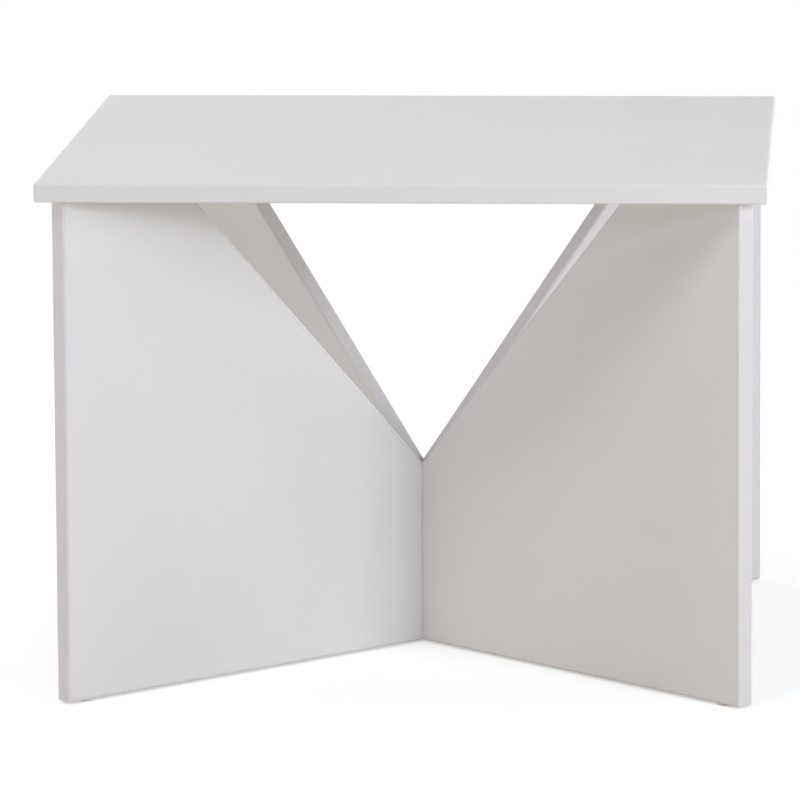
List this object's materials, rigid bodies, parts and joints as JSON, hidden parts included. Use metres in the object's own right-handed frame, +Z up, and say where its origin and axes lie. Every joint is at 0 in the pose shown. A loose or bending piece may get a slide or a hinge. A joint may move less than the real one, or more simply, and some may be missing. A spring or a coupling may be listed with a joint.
{
  "type": "coffee table",
  "caption": "Square white coffee table: a flat board top on two notched panels that cross under its middle in a lap joint.",
  "frame": {"origin": "on the floor under the middle of the table", "axes": "+Z up through the top, +X to the right and +Y to the back as the picture sees the table, along the sides of the square top"},
  "size_m": [0.6, 0.6, 0.4381],
  "materials": {
    "white_board": "white melamine-faced board, fine satin texture, bare chipboard in the slots and bores",
    "white_banding": "white edge banding, rounded edges, satin",
    "beech_dowel": "fluted bare beech",
    "zinc_cam": "die-cast zinc, dull",
    "steel_bolt": "zinc-plated steel",
    "white_plastic": "moulded white plastic, satin"
  },
  "bodies": {
    "root": {"back_left_cam_bolt": "steel_bolt", "back_left_cam_cap": "white_plastic", "back_left_cam_lock": "zinc_cam", "back_left_end_band": "white_banding", "back_left_glide": "white_plastic", "back_left_inner_dowel": "beech_dowel", "back_left_notch_band": "white_banding", "back_left_outer_dowel": "beech_dowel", "back_right_cam_bolt": "steel_bolt", "back_right_cam_cap": "white_plastic", "back_right_cam_lock": "zinc_cam", "back_right_end_band": "white_banding", "back_right_foot_band": "white_banding", "back_right_glide": "white_plastic", "back_right_inner_dowel": "beech_dowel", "back_right_notch_band": "white_banding", "back_right_outer_dowel": "beech_dowel", "front_left_cam_bolt": "steel_bolt", "front_left_cam_cap": "white_plastic", "front_left_cam_lock": "zinc_cam", "front_left_end_band": "white_banding", "front_left_foot_band": "white_banding", "front_left_glide": "white_plastic", "front_left_inner_dowel": "beech_dowel", "front_left_notch_band": "white_banding", "front_left_outer_dowel": "beech_dowel", "front_right_cam_bolt": "steel_bolt", "front_right_cam_cap": "white_plastic", "front_right_cam_lock": "zinc_cam", "front_right_end_band": "white_banding", "front_right_glide": "white_plastic", "front_right_inner_dowel": "beech_dowel", "front_right_notch_band": "white_banding", "front_right_outer_dowel": "beech_dowel", "leg_panel_a": "white_board", "leg_panel_b": "white_board", "leg_panel_b_foot_band": "white_banding", "top_back_band": "white_banding", "top_board": "white_board", "top_front_band": "white_banding", "top_left_band": "white_banding", "top_right_band": "white_banding"}
  },
  "joints": []
}
